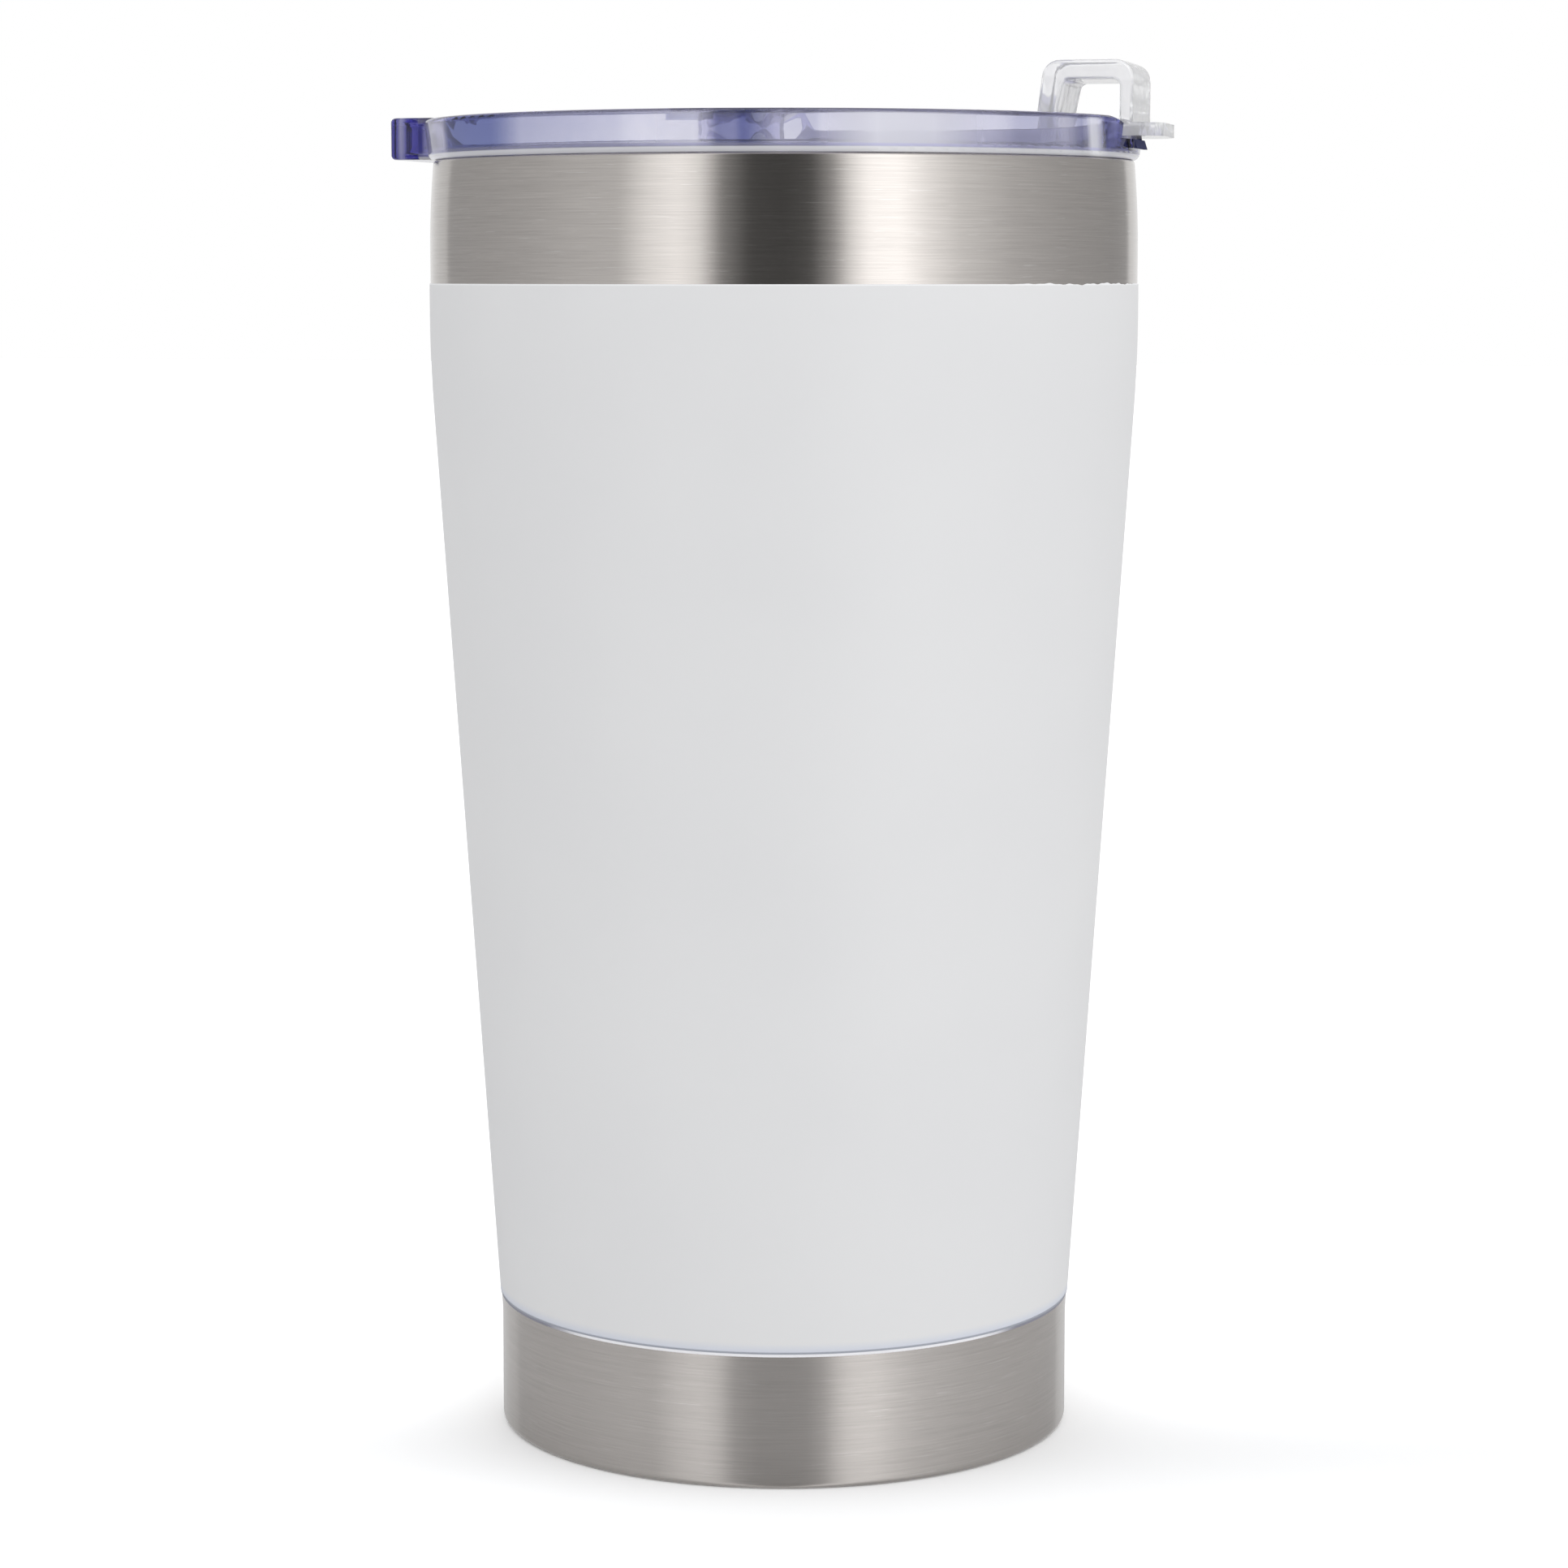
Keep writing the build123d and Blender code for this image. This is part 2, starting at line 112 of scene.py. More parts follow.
# ---------------------------------------------------------------- surfaces
def rounded(corners, radii, steps=10):
    """A polyline whose inner corners are arcs. Each arc touches both sides of its corner at radius /
    tan(half angle), and its points are its two end arms mixed by the sines of the turn that is left and
    the turn that is done."""
    corners = np.array(corners, float)
    parts = [corners[:1]]
    for before, corner, after, radius in zip(corners, corners[1:], corners[2:], radii):
        back = (before - corner) / np.linalg.norm(before - corner)
        ahead = (after - corner) / np.linalg.norm(after - corner)
        half = np.arccos(np.clip(back @ ahead, -1, 1)) / 2
        centre = corner + (back + ahead) / np.linalg.norm(back + ahead) * radius / np.sin(half)
        start = corner + back * radius / np.tan(half) - centre
        end = corner + ahead * radius / np.tan(half) - centre
        turn = np.pi - 2 * half
        t = np.linspace(0, 1, steps)[:, None]
        parts.append(centre + (np.sin((1 - t) * turn) * start + np.sin(t * turn) * end) / np.sin(turn))
    parts.append(corners[-1:])
    return np.concatenate(parts)


def thick(path, wall):
    """A closed outline of a thin wall: the path, then the path moved by wall along its right-hand
    normals, backwards. What starts on the axis stays on it."""
    along = np.gradient(path, axis=0)
    along /= np.linalg.norm(along, axis=1, keepdims=True)
    right = np.stack([along[:, 1], -along[:, 0]], axis=1)
    other = path + wall * right
    other[path[:, 0] == 0, 0] = 0
    return np.concatenate([path, other[::-1]])


def finish_mesh(mesh, sharp=35):
    """Merges doubled points, turns the faces outwards, smooths them and keeps edges sharper than the
    given degrees."""
    merge_distance = 1e-7
    sliver = 1e-8
    shape = bmesh.new()
    shape.from_mesh(mesh)
    bmesh.ops.remove_doubles(shape, verts=shape.verts, dist=merge_distance)
    bmesh.ops.dissolve_degenerate(shape, edges=shape.edges, dist=sliver)
    if shape.calc_volume(signed=True) < 0:
        bmesh.ops.reverse_faces(shape, faces=shape.faces)
    shape.to_mesh(mesh)
    shape.free()
    mesh.polygons.foreach_set("use_smooth", np.ones(len(mesh.polygons), bool))
    mesh.set_sharp_from_angle(angle=math.radians(sharp))
    mesh.update()


def piece(name, mesh, body, finish, node):
    """Puts a mesh into the scene as a piece of a body, with its finish, and hides the CAD node that it
    stands for."""
    mesh.name = name
    mesh.materials.clear()
    mesh.materials.append(finish)
    made = bpy.data.objects.new(name, mesh)
    bpy.context.scene.collection.objects.link(made)
    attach(made, body)
    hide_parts(node)
    return made


def turned(section, segments=256, closed=True, lift=None):
    """A section of radii and heights carried round the axis:
    x = r cos a, y = r sin a, z = h + lift(h, a).

    A section that starts and ends on the axis isn't closed. U runs round, from 0 to 1, and V along the
    section, in metres."""
    angle = np.arange(segments) / segments * 2 * np.pi
    ring = np.stack([np.cos(angle), np.sin(angle)], axis=1)
    points = np.empty((len(section), segments, 3))
    points[:, :, :2] = section[:, None, :1] * ring[None]
    points[:, :, 2] = section[:, 1:]
    if lift:
        points[:, :, 2] += lift(section[:, 1:], angle[None])
    rows = len(section) if closed else len(section) - 1
    i, j = np.meshgrid(np.arange(rows), np.arange(segments), indexing="ij")
    i, j = i.ravel(), j.ravel()
    row = i * segments
    next_row = (i + 1) % len(section) * segments
    next_j = (j + 1) % segments
    faces = np.stack([row + j, row + next_j, next_row + next_j, next_row + j], axis=1)
    mesh = bpy.data.meshes.new("turned")
    mesh.from_pydata(points.reshape(-1, 3), [], faces)
    step = np.linalg.norm(np.diff(section, axis=0, append=section[:1]), axis=1)
    run = np.concatenate([[0], np.cumsum(step)])
    u = np.stack([j, j + 1, j + 1, j], axis=1) / segments
    v = np.stack([run[i], run[i], run[i + 1], run[i + 1]], axis=1)
    uv = mesh.uv_layers.new(name="wall")
    uv.data.foreach_set("uv", np.stack([u, v], axis=2).ravel())
    finish_mesh(mesh)
    return mesh


def moulding(name, body, finish, node):
    """A merged copy of a CAD node's mesh as a piece. Its modifier makes a corner's normal the sum of the
    normals of the faces round it, each times its area, up to the next sharp edge, so that flats stay flat
    beside rounds."""
    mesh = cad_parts[node].data.copy()
    finish_mesh(mesh, sharp=30)
    made = piece(name, mesh, body, finish, node)
    flats = made.modifiers.new("flats", "WEIGHTED_NORMAL")
    flats.keep_sharp = True


# ---------------------------------------------------------------- shader maths
plastic_ior = 1.49


class Socket:
    """An output of a node. Arithmetic on it adds Math nodes."""

    def __init__(self, finish, output):
        self.finish = finish
        self.output = output

    def __add__(self, other):
        return self.finish.math("ADD", self, other)

    def __radd__(self, other):
        return self.finish.math("ADD", other, self)

    def __sub__(self, other):
        return self.finish.math("SUBTRACT", self, other)

    def __rsub__(self, other):
        return self.finish.math("SUBTRACT", other, self)

    def __mul__(self, other):
        return self.finish.math("MULTIPLY", self, other)

    def __rmul__(self, other):
        return self.finish.math("MULTIPLY", other, self)

    def __truediv__(self, other):
        return self.finish.math("DIVIDE", self, other)

    def __pow__(self, other):
        return self.finish.math("POWER", self, other)


class Finish:
    """A node tree in the making, of a material or of the world."""

    def __init__(self, owner):
        owner.use_nodes = True
        self.owner = owner
        self.tree = owner.node_tree
        self.tree.nodes.clear()

    def node(self, kind, settings=None, inputs=None, output=0):
        """Adds a node, its settings first, then its sockets' values or links, and gives one output."""
        made = self.tree.nodes.new("ShaderNode" + kind)
        for key, value in (settings or {}).items():
            if key == "stops":
                set_stops(made.color_ramp, value)
            else:
                setattr(made, key, value)
        for key, value in (inputs or {}).items():
            if isinstance(value, Socket):
                self.tree.links.new(value.output, made.inputs[key])
            else:
                made.inputs[key].default_value = value
        return Socket(self, made.outputs[output]) if len(made.outputs) else None

    def math(self, operation, *values):
        """A sum or another operation on numbers."""
        return self.node("Math", {"operation": operation}, dict(enumerate(values)))

    def place(self, scale=(1, 1, 1), turn=0.0):
        """Object coordinates in metres, turned about the upright axis and scaled."""
        coordinates = self.node("TexCoord", output="Object")
        inputs = {"Vector": coordinates, "Rotation": (0, 0, turn), "Scale": scale}
        return self.node("Mapping", inputs=inputs)

    def axis(self, name, turn=0.0):
        """A point's place along one axis, in metres, after a turn about the upright axis."""
        return self.node("SeparateXYZ", inputs={"Vector": self.place(turn=turn)}, output=name)

    def radius(self):
        """A point's distance from the upright axis, in metres."""
        east = self.axis("X")
        north = self.axis("Y")
        return (east * east + north * north) ** 0.5

    def ray(self, answer):
        """What Light Path says of the ray that sees the point."""
        return self.node("LightPath", output=answer)

    def noise(self, scale, detail, roughness, stretch=(1, 1, 1), distortion=0.0):
        """Noise from 0 to 1, with scale in repeats per metre along each stretched axis."""
        inputs = {
            "Vector": self.place(stretch),
            "Scale": scale,
            "Detail": detail,
            "Roughness": roughness,
            "Distortion": distortion,
        }
        return self.node("TexNoise", inputs=inputs)

    def between(self, value, low, high, bottom=0.0, top=1.0):
        """A value from low to high becomes one from bottom to top, held at both ends."""
        inputs = {"Value": value, "From Min": low, "From Max": high, "To Min": bottom, "To Max": top}
        return self.node("MapRange", {"interpolation_type": "SMOOTHSTEP"}, inputs)

    def mix(self, factor, first, second):
        """Two colours mixed by a factor."""
        return self.node("Mix", {"data_type": "RGBA"}, {0: factor, 6: first, 7: second}, output=2)

    def bump(self, height, distance, strength=1.0):
        """A normal that follows a height from 0 to 1, which stands for the given distance in metres."""
        return self.node("Bump", inputs={"Height": height, "Distance": distance, "Strength": strength})

    def skin(self, colour, roughness, normal, constants):
        """A surface's shader: what may vary over it, then constants by the names of their sockets."""
        varied = {"Base Color": colour, "Roughness": roughness, "Normal": normal}
        return self.node("BsdfPrincipled", inputs={**varied, **constants})

    def milk(self, colour, roughness, normal, sheer, sheer_colour):
        """A milky body under a gloss. The sheer share of the light that goes into it comes out on the far
        side, in one colour all over."""
        body = self.skin(colour, roughness, normal, {"IOR": plastic_ior})
        through = self.node("BsdfTranslucent", inputs={"Color": sheer_colour})
        return self.blend(sheer, body, through)

    def blend(self, factor, first, second):
        """Two shaders mixed by a factor."""
        return self.node("MixShader", inputs={0: factor, 1: first, 2: second})

    def surface(self, shader, volume=None):
        """Ends the material with its shader and gives the material."""
        inputs = {"Surface": shader}
        if volume:
            inputs["Volume"] = volume
        self.node("OutputMaterial", inputs=inputs)
        return self.owner


def set_stops(ramp, stops):
    """Gives a ramp its stops, each a place and a grey level."""
    while len(ramp.elements) < len(stops):
        ramp.elements.new(1.0)
    for element, (place, level) in zip(ramp.elements, stops):
        element.position = place
        element.color = rgb(level, level, level)


def material(name):
    """A new material, still without nodes."""
    return Finish(bpy.data.materials.new(name))


def rgb(red, green, blue):
    """An opaque colour, in linear light."""
    return (red, green, blue, 1.0)


def shade(tone, factor):
    """A tone made darker or lighter by a factor, as a colour."""
    return rgb(*(min(1, level * factor) for level in tone))


# ---------------------------------------------------------------- finishes
def brushed_steel(name, tone, lines, rough, depth):
    """Stainless steel brushed round its axis: fine level lines, so many to the metre, which swell and
    fade along their length, lighter scratches among them, and a reflection drawn out up and down."""
    look = material(name)
    fine = look.noise(1, 3, 0.6, stretch=(90, 90, lines))
    coarse = look.noise(1, 2, 0.6, stretch=(60, 60, lines / 4))
    swell = look.between(look.noise(1, 2, 0.5, stretch=(330, 330, 1400)), 0.35, 0.65, 0.45, 1.45)
    cloud = look.noise(60, 3, 0.6)
    scratch = look.between(look.noise(1, 2, 0.6, stretch=(140, 140, lines * 0.8)), 0.58, 0.68)
    scratch = scratch * look.between(look.noise(1, 2, 0.5, stretch=(260, 260, 1900)), 0.5, 0.62)
    streak = 0.5 + (fine * 0.8 + coarse * 0.2 - 0.5) * swell
    colour = look.mix(look.between(streak, 0.3, 0.7), shade(tone, 0.93), shade(tone, 1.05))
    colour = look.mix(scratch * 0.35, colour, rgb(0.86, 0.84, 0.82))
    roughness = rough - 0.03 + streak * 0.05 + cloud * 0.03
    constants = {"Metallic": 1.0, "Anisotropic": 0.85, "Anisotropic Rotation": 0.25}
    return look.surface(look.skin(colour, roughness, look.bump(streak + scratch * 1.2, depth), constants))


def powder_coat():
    """White powder coat: an even, soft gloss over a fine grain. Towards its masked lower edge it turns
    darker and bluish. Then comes a fine line of painted shade, and a bead with a painted highlight that is
    white at the front and fades to painted shade round the sides. Its upper edge is a fine painted highlight."""
    darker_bluish_band = (0.5 * mm, 1.9 * mm)
    painted_shade_line = (bead_height, bead_height + 0.34 * mm)
    bead_crest = (bead_height - 0.12 * mm, bead_height + 0.02 * mm)
    painted_highlight_line = (coat_height - 0.45 * mm, coat_height - 0.3 * mm)
    # The bead's painted highlight is full within the first angle of its bearing and gone beyond the second.
    glint_full = math.cos(math.radians(40))
    glint_gone = math.cos(math.radians(54))
    look = material("white powder coat")
    grain = look.noise(2600, 3, 0.6)
    flow = look.noise(420, 2, 0.5)
    cloud = look.noise(35, 2, 0.5)
    wave = look.noise(90, 2, 0.5) - 0.5
    height = look.axis("Z") - coat_bottom_z
    # Painted highlight on the bead: bright towards its bearing, painted shade round the sides.
    front = (look.axis("X") * math.sin(bead_glint_turn) - look.axis("Y") * math.cos(bead_glint_turn)) / foot_radius
    full = look.between(front + wave * 0.12, glint_gone, glint_full)
    colour = look.mix(look.between(cloud, 0.3, 0.7), rgb(0.785, 0.785, 0.79), rgb(0.80, 0.80, 0.803))
    # Darker and bluish towards the lower edge.
    colour = look.mix(1 - look.between(height, *darker_bluish_band), colour, rgb(0.68, 0.71, 0.79))
    # A fine line of painted shade over the bead.
    colour = look.mix(1 - look.between(height, *painted_shade_line), colour, rgb(0.36, 0.38, 0.43))
    # A fine painted highlight along the coat's upper edge.
    colour = look.mix(look.between(height, *painted_highlight_line), colour, rgb(0.93, 0.93, 0.94))
    # The bead's colour: painted shade at the sides, a painted white highlight at the front.
    bead_glint_colour = look.mix(full, rgb(0.26, 0.26, 0.32), rgb(0.97, 0.97, 1.0))
    colour = look.mix(1 - look.between(height, *bead_crest), colour, bead_glint_colour)
    roughness = 0.42 + grain * 0.10 + cloud * 0.04
    pebbled = look.bump(grain * 0.4 + flow * 0.6, 0.006 * mm, 0.35)
    return look.surface(look.skin(colour, roughness, pebbled, {"IOR": 1.5}))


def foil():
    """Copper foil, rolled and slightly crumpled."""
    look = material("copper foil")
    crumple = look.noise(160, 5, 0.65, distortion=0.6)
    colour = look.mix(crumple, rgb(0.80, 0.40, 0.26), rgb(0.93, 0.55, 0.38))
    crumpled = look.bump(crumple, 0.3 * mm, 0.6)
    return look.surface(look.skin(colour, 0.18 + crumple * 0.15, crumpled, {"Metallic": 1.0}))


def spun_steel(name, tone):
    """Pressed steel with turning marks in rings round its axis."""
    look = material(name)
    outwards = look.node("CombineXYZ", inputs={"X": look.radius() * 2600})
    rings = look.node("TexNoise", inputs={"Vector": outwards, "Scale": 1.0, "Detail": 4.0})
    cloud = look.noise(90, 4, 0.6)
    colour = look.mix(look.between(rings, 0.3, 0.7), shade(tone, 0.86), shade(tone, 1.08))
    roughness = 0.27 + rings * 0.08 + cloud * 0.06
    return look.surface(look.skin(colour, roughness, look.bump(rings, 0.006 * mm, 0.6), {"Metallic": 1.0}))


def sintered_powder():
    """Pressed getter powder: a dull grain with pits, which are darkened with painted shade."""
    tone = (0.16, 0.155, 0.15)
    look = material("sintered getter")
    grain = look.noise(3500, 4, 0.7)
    pits = look.between(look.noise(1500, 2, 0.5), 0.62, 0.7)
    dark = shade(tone, 0.55)
    # The pits darkened with painted shade.
    colour = look.mix(pits, look.mix(grain, dark, rgb(*tone)), dark)
    return look.surface(look.skin(colour, 0.65 + grain * 0.2, look.bump(grain - pits, 0.04 * mm, 0.6), {}))


def solder_glass():
    """Solder glass, melted over the port and left slightly wavy."""
    look = material("solder glass")
    cloud = look.noise(900, 3, 0.55)
    colour = look.mix(cloud, rgb(0.22, 0.17, 0.11), rgb(0.34, 0.28, 0.19))
    wavy = look.bump(cloud, 0.06 * mm, 0.5)
    return look.surface(look.skin(colour, 0.10 + cloud * 0.12, wavy, {"IOR": 1.55}))


# Milk in the wall of the lid's rim, from the lift tab to the strap's notch: millimetres along X, and the
# share of milk there.
rim_milk = [
    (-47.8, 0.0), (-47.2, 0.30), (-46.6, 0.0), (-44.4, 0.0), (-44.0, 0.24), (-35.8, 0.22), (-34.6, 0.0),
    (-27.0, 0.0), (-22.0, 0.11), (-15.0, 0.13), (-9.0, 0.16), (-3.0, 0.30), (0.5, 0.36), (3.0, 0.07),
    (5.0, 0.08), (6.0, 0.03), (8.0, 0.09), (10.0, 0.20), (14.0, 0.15), (20.7, 0.72), (26.5, 0.66),
    (30.7, 0.28), (34.6, 0.13), (37.7, 0.14), (39.2, 0.22), (40.4, 0.07), (40.95, 0.07), (41.4, 0.72),
    (41.95, 0.68), (42.4, 0.0),
]


def tinted_plastic():
    """Clear blue moulding, bluer the further the light goes through it. The rim's wall is milky in soft
    drifts, and clear and bluer over the hinge and beside the tabs. Its foot, which sits on the lip, has a
    painted white highlight under a fine painted blue line, both standing in for light refracted at its edge.
    Its top edge is darkened with painted shade, and so is the catch under the strap's thumb tab. Light
    falls through the drinking floor into the cup."""
    rim_radii = (40.6 * mm, 41.6 * mm)
    lip_level = (-0.5 * mm, 0.0)
    lift_tab = (-45.1 * mm, -44.8 * mm)
    notch_side = (42.0 * mm, 42.5 * mm)
    catch = (44.5 * mm, 44.6 * mm)
    # Heights above the lip of the foot's painted highlight and of the painted blue line over it.
    foot_top = (0.55 * mm, 0.75 * mm)
    line_bottom = (0.6 * mm, 0.75 * mm)
    line_top = (0.9 * mm, 1.1 * mm)
    wall_top = (4.3 * mm, 4.7 * mm)
    # The band of painted shade along the rim's top edge.
    top_edge = (4.66 * mm, 4.80 * mm)
    ramp_width = 100 * mm
    look = material("clear blue plastic")
    flow = look.noise(85, 2, 0.5, distortion=0.4)
    haze = look.noise(700, 3, 0.6)
    east = look.axis("X")
    height = look.axis("Z") - lip_z

    outside = look.between(look.radius(), *rim_radii) * look.between(height, *lip_level)
    # The catch under the strap's thumb tab, darkened with painted shade.
    nib = look.between(east, *catch)
    rim = (look.between(east, *lift_tab) - nib) * outside
    # The foot's painted white highlight and the fine painted blue line over it, for light refracted at the
    # edge.
    foot = 1 - look.between(height, *foot_top)
    line = look.between(height, *line_bottom) * (1 - look.between(height, *line_top))
    wall = 1 - look.between(height, *wall_top) * rim
    edge = look.between(height, *top_edge) * rim
    stops = [(0.5 + across * mm / ramp_width, share) for across, share in rim_milk]
    drift = look.node("ValToRGB", {"stops": stops}, {"Fac": 0.5 + east / ramp_width})
    clear = 1 - look.between(drift, 0.0, 0.24)
    drift = drift * outside + 0.12 * (1 - outside)
    wavy = look.bump(flow, 0.12 * mm, 0.25)

    colour = look.mix(look.between(haze, 0.35, 0.7), rgb(0.98, 0.98, 1.0), rgb(0.93, 0.935, 0.98))
    colour = look.mix(clear * rim, colour, rgb(0.185, 0.22, 0.415))
    colour = look.mix(look.between(east, *notch_side) * rim, colour, rgb(0.22, 0.24, 0.60))
    # Painted shade on the catch under the thumb tab, then on the rim's top edge.
    colour = look.mix(nib, colour, rgb(0.16, 0.15, 0.36))
    colour = look.mix(edge, colour, rgb(0.42, 0.40, 0.50))
    polished = 0.015 + look.between(haze, 0.5, 0.8) * 0.05
    glass = look.skin(colour, polished, wavy, {"IOR": plastic_ior, "Transmission Weight": 1.0})

    # The foot's painted white highlight, then the painted blue line over it.
    colour = look.mix(foot, rgb(0.88, 0.88, 0.94), rgb(0.975, 0.975, 0.99))
    colour = look.mix(line, colour, rgb(0.70, 0.70, 0.92))
    # Painted shade on the top edge and on the catch, in the milky part.
    colour = look.mix(edge, colour, rgb(0.20, 0.19, 0.25))
    colour = look.mix(nib, colour, rgb(0.03, 0.035, 0.12))
    sheer = (0.4 - outside * 0.35) * (1 - nib)
    milk = look.milk(colour, 0.12 + haze * 0.05 + nib * 0.8, wavy, sheer, rgb(0.95, 0.95, 0.98))
    # More milk at the painted top edge, the foot's painted highlight and its painted blue line.
    clear_share = (1 - wall * drift) * (1 - edge * 0.3) * (1 - rim * foot * 0.65) * (1 - rim * line * 0.2)
    shader = look.blend(1 - clear_share * (1 - nib), glass, milk)

    light_passes = look.ray("Is Shadow Ray") * (1 - outside) * 0.9
    passed = look.node("BsdfTransparent", inputs={"Color": rgb(0.76, 0.77, 0.92)})
    shader = look.blend(light_passes, shader, passed)
    depth = look.node("VolumeAbsorption", inputs={"Color": rgb(0.07, 0.04, 0.58), "Density": 190.0})
    return look.surface(shader, depth)


def clear_plastic():
    """Natural clear moulding with milk in it, under a polished skin that is not quite even. Seen from its
    inner side the skin has less milk."""
    look = material("clear plastic")
    flow = look.noise(160, 2, 0.5, distortion=0.8)
    haze = look.noise(500, 2, 0.5)
    uneven = look.bump(flow, 0.2 * mm, 0.3)
    colour = look.mix(look.between(haze, 0.3, 0.7), rgb(0.975, 0.975, 0.99), rgb(0.995, 0.995, 1.0))
    polished = 0.02 + look.between(haze, 0.4, 0.8) * 0.05
    glass = look.skin(colour, polished, uneven, {"IOR": plastic_ior, "Transmission Weight": 1.0})
    milk = look.milk(colour, 0.05 + haze * 0.04, uneven, 0.15, rgb(0.985, 0.985, 0.995))
    inner_side = look.node("NewGeometry", output="Backfacing")
    return look.surface(look.blend((0.46 + haze * 0.10) * (1 - inner_side * 0.7), glass, milk))


def silicone():
    """Milky silicone rubber with a dry, dusty skin."""
    look = material("silicone")
    grain = look.noise(2200, 3, 0.6)
    colour = look.mix(grain, rgb(0.72, 0.73, 0.75), rgb(0.80, 0.81, 0.83))
    constants = {
        "IOR": 1.41,
        "Subsurface Weight": 0.35,
        "Subsurface Radius": (2 * mm, 2 * mm, 2 * mm),
        "Subsurface Scale": 1.0,
    }
    return look.surface(look.skin(colour, 0.48 + grain * 0.12, look.bump(grain, 0.01 * mm, 0.5), constants))


# ---------------------------------------------------------------- sections of the cup, as radii and heights
def wall_radius(height):
    """The outer wall's radius on its taper: the foot's, plus the slope times the height above the foot."""
    return foot_radius + wall_slope * (height - foot_top_z)


def shell_section():
    """The steel wall's outline: standing ring, foot, taper, straight band, lean below the lip and
    turned-in lip."""
    outside = rounded(
        [
            (ring_radius, 0),
            (foot_radius, 0),
            (foot_radius, foot_top_z),
            (shoulder_radius, shoulder_z),
            (shoulder_radius, lip_lean_z),
            (lip_radius, lip_z - lip_clearance),
            (seam_radius, lip_z - lip_clearance),
        ],
        [ring_round, foot_bend, shoulder_bend, lip_bend, lip_round],
    )
    return thick(outside, -shell_wall)


def liner_section():
    """The inner wall's outline, from the middle of its floor up to the seam in the lip."""
    inside = rounded(
        [
            (0, liner_floor_z),
            (wall_radius(liner_floor_z) - double_wall, liner_floor_z),
            (mouth_radius, shoulder_z),
            (mouth_radius, lip_z - lip_clearance),
            (seam_radius, lip_z - lip_clearance),
        ],
        [liner_floor_round, shoulder_bend, mouth_round],
    )
    return thick(inside, liner_wall)


def coat_section():
    """The coat's outline, from its foot: the bead, whose thickness grows as the 0.6th power of its
    height, the groove over it, the skin at an even distance from the steel, and a quarter round at the
    top. It comes back inside the steel's face."""
    face = rounded(
        [
            (wall_radius(coat_bottom_z), coat_bottom_z),
            (shoulder_radius, shoulder_z),
            (shoulder_radius, coat_top_z),
        ],
        [shoulder_bend],
        steps=24,
    )
    grown = np.linspace(0, 1, 9)[1:]
    bead_z = coat_bottom_z + bead_height * grown
    bead = np.stack([wall_radius(bead_z) + coat_thickness * grown**0.6, bead_z], axis=1)
    groove_z = coat_bottom_z + bead_height + groove_heights
    groove = np.stack([wall_radius(groove_z) + coat_thickness - groove_depths, groove_z], axis=1)
    skin = face[1:-1] + (coat_thickness, 0)
    turn = np.linspace(0, np.pi / 2, 6)
    edge_z = coat_top_z - ragged_height - coat_top_round * (1 - np.sin(turn))
    edge = np.stack([shoulder_radius + coat_thickness * np.cos(turn), edge_z], axis=1)
    back = np.minimum(face, (np.inf, coat_top_z - ragged_height)) - (coat_sink, 0)
    return np.concatenate([face[:1], bead, groove, skin, edge, back[::-1]])


def ragged(height, angle):
    """What the masked top edge adds to the height, over its last millimetre: level, but for a torn
    stretch, which is a sum of sines of 19, 67 and 151 waves to the turn, faded out on both sides by a
    bell of the fourth power."""
    near_top = np.clip((height - coat_top_z) / mm + 1, 0, 1)
    away = np.angle(np.exp(1j * (angle - ragged_turn)))
    torn = 0.3 * np.sin(19 * angle) + 0.3 * np.sin(67 * angle) + 0.2 * np.sin(151 * angle + 1)
    stretch = np.exp(-(away / ragged_spread) ** 4)
    return near_top * ragged_height * (ragged_level + torn * stretch)


def plate_section():
    """The cover disc's outline: a flat whose middle is dished up, on a ramp from 66% to 70% of the
    radius, and whose edge is turned up."""
    under = rounded(
        [
            (0, plate_low_z + plate_dish),
            (plate_radius * 0.66, plate_low_z + plate_dish),
            (plate_radius * 0.70, plate_low_z),
            (plate_radius, plate_low_z),
            (plate_radius, plate_high_z),
        ],
        [dish_bend, dish_bend, plate_bend],
    )
    return thick(under, -plate_wall)


# ---------------------------------------------------------------- the cup
shell_tone = (0.655, 0.62, 0.592)
liner_tone = (0.76, 0.75, 0.735)
steel = brushed_steel("brushed steel", shell_tone, lines=6000, rough=0.16, depth=0.0024 * mm)
liner_steel = brushed_steel("satin liner steel", liner_tone, lines=2600, rough=0.17, depth=0.003 * mm)
base_steel = spun_steel("spun base steel", (0.60, 0.585, 0.57))
blue = tinted_plastic()
clear = clear_plastic()
rubber = silicone()

shell = turned(shell_section())
liner = turned(liner_section(), closed=False)
coat = turned(coat_section(), segments=720, lift=ragged)
disc = turned(plate_section(), closed=False)
piece("tumbler_shell", shell, "cup", steel, "outer_shell")
piece("tumbler_liner", liner, "cup", liner_steel, "inner_liner")
piece("powder_coat", coat, "cup", powder_coat(), "white_coating")
piece("cover_disc", disc, "cup", base_steel, "base_plate")

# ---------------------------------------------------------------- lid, strap and seals
moulding("lid_moulding", "lid", blue, "lid")
moulding("flip_strap", "strap", clear, "flip_cap")
moulding("drink_stopper", "strap", rubber, "drink_plug")
moulding("mouth_seal", "seal", rubber, "lid_gasket")

